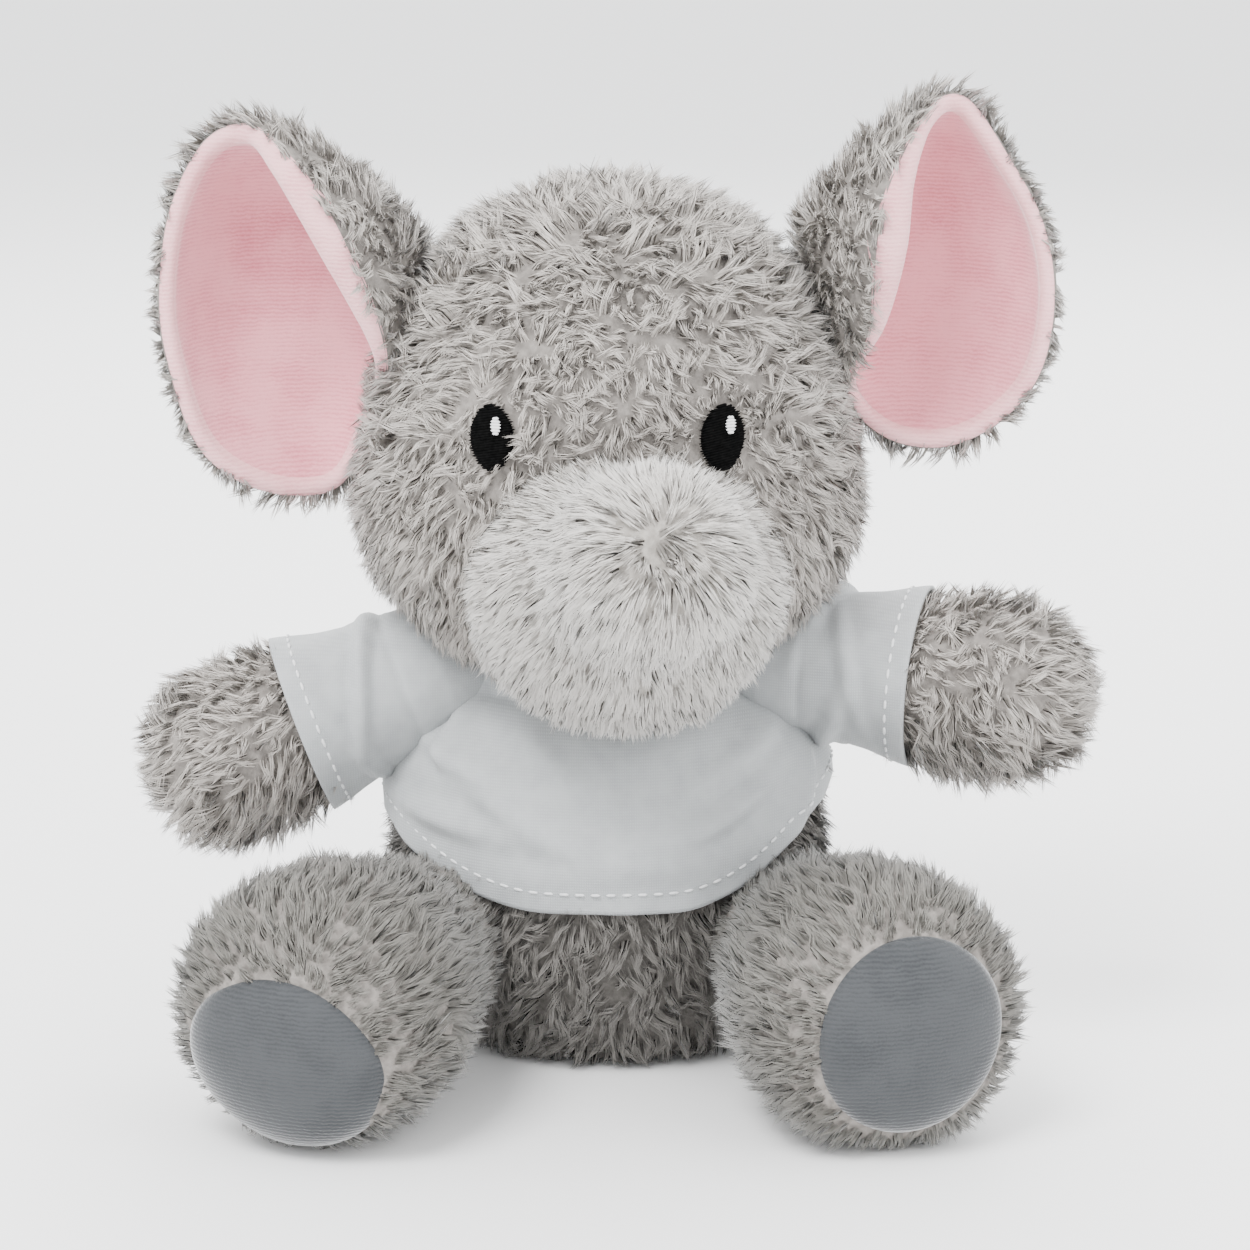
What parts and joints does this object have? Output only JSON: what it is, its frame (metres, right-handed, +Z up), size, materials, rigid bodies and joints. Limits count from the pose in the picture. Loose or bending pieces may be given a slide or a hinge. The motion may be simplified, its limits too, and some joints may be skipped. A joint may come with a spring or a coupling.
{
  "type": "stuffed elephant",
  "caption": "Seated plush elephant with lined cup ears, thick forward trunk, sewn limbs, embroidered eyes and a short-sleeved T-shirt.",
  "frame": {"origin": "on the floor under the middle of the seat", "axes": "+Z up, the toy faces -Y, its own left side is +X"},
  "size_m": [0.1674, 0.1409, 0.1738],
  "materials": {
    "fur_grey": "short curly grey pile fabric",
    "fur_pale": "pale grey brushed pile fabric",
    "velour_pink": "pink knitted velour",
    "velour_blue_grey": "blue-grey knitted velour",
    "jersey_white": "white cotton jersey",
    "thread_white": "white sewing thread",
    "thread_black": "black satin-stitch embroidery",
    "fibre_fill": "polyester fibre stuffing",
    "beans": "pouch of plastic beans"
  },
  "bodies": {
    "torso": {"torso_skin": "fur_grey", "torso_stuffing": "fibre_fill", "bean_bag": "beans", "shirt_front": "jersey_white", "shirt_back": "jersey_white", "neckband": "jersey_white", "hem_stitching": "thread_white"},
    "head": {"head_skin": "fur_grey", "head_stuffing": "fibre_fill", "eye_left": "thread_black", "eye_right": "thread_black", "eye_glint_left": "thread_white", "eye_glint_right": "thread_white"},
    "trunk": {"trunk_skin": "fur_pale", "trunk_stuffing": "fibre_fill"},
    "tail": {"tail": "fur_grey"},
    "ear_left": {"ear_back_left": "fur_grey", "ear_lining_left": "velour_pink"},
    "arm_left": {"arm_skin_left": "fur_grey", "arm_stuffing_left": "fibre_fill", "sleeve_left": "jersey_white", "cuff_stitching_left": "thread_white"},
    "leg_left": {"leg_skin_left": "fur_grey", "leg_stuffing_left": "fibre_fill", "foot_pad_left": "velour_blue_grey"},
    "ear_right": {"ear_back_right": "fur_grey", "ear_lining_right": "velour_pink"},
    "arm_right": {"arm_skin_right": "fur_grey", "arm_stuffing_right": "fibre_fill", "sleeve_right": "jersey_white", "cuff_stitching_right": "thread_white"},
    "leg_right": {"leg_skin_right": "fur_grey", "leg_stuffing_right": "fibre_fill", "foot_pad_right": "velour_blue_grey"}
  },
  "joints": [
    {"name": "head_turn", "type": "hinge", "parent": "torso", "child": "head", "pos_m": [0, 0.004, 0.07], "axis": [0, 0, 1], "range_deg": [-25, 25], "stiffness_Nm_per_rad": 0.15},
    {"name": "trunk_bend", "type": "hinge", "parent": "head", "child": "trunk", "pos_m": [0.0025, -0.024, 0.089], "axis": [0.9903, 0.1392, 0], "range_deg": [-10, 20], "stiffness_Nm_per_rad": 0.06},
    {"name": "ear_fold_right", "type": "hinge", "parent": "head", "child": "ear_right", "pos_m": [-0.041, 0.004, 0.134], "axis": [0, 0, 1], "range_deg": [-25, 8], "stiffness_Nm_per_rad": 0.02},
    {"name": "ear_fold_left", "type": "hinge", "parent": "head", "child": "ear_left", "pos_m": [0.041, 0.004, 0.139], "axis": [0, 0, -1], "range_deg": [-25, 8], "stiffness_Nm_per_rad": 0.02},
    {"name": "arm_swing_right", "type": "hinge", "parent": "torso", "child": "arm_right", "pos_m": [-0.038, 0, 0.065], "axis": [0, 1, 0], "range_deg": [-10, 35], "stiffness_Nm_per_rad": 0.06},
    {"name": "arm_swing_left", "type": "hinge", "parent": "torso", "child": "arm_left", "pos_m": [0.038, 0, 0.0695], "axis": [0, -1, 0], "range_deg": [-25, 25], "stiffness_Nm_per_rad": 0.06},
    {"name": "leg_swing_right", "type": "hinge", "parent": "torso", "child": "leg_right", "pos_m": [-0.032, -0.017, 0.023], "axis": [-0.9205, 0.3907, 0], "range_deg": [0, 25], "stiffness_Nm_per_rad": 0.15},
    {"name": "leg_swing_left", "type": "hinge", "parent": "torso", "child": "leg_left", "pos_m": [0.032, -0.017, 0.023], "axis": [-0.9397, -0.342, 0], "range_deg": [0, 25], "stiffness_Nm_per_rad": 0.15},
    {"name": "tail_swing", "type": "hinge", "parent": "torso", "child": "tail", "pos_m": [0, 0.04, 0.02], "axis": [1, 0, 0], "range_deg": [-10, 40], "stiffness_Nm_per_rad": 0.004}
  ]
}
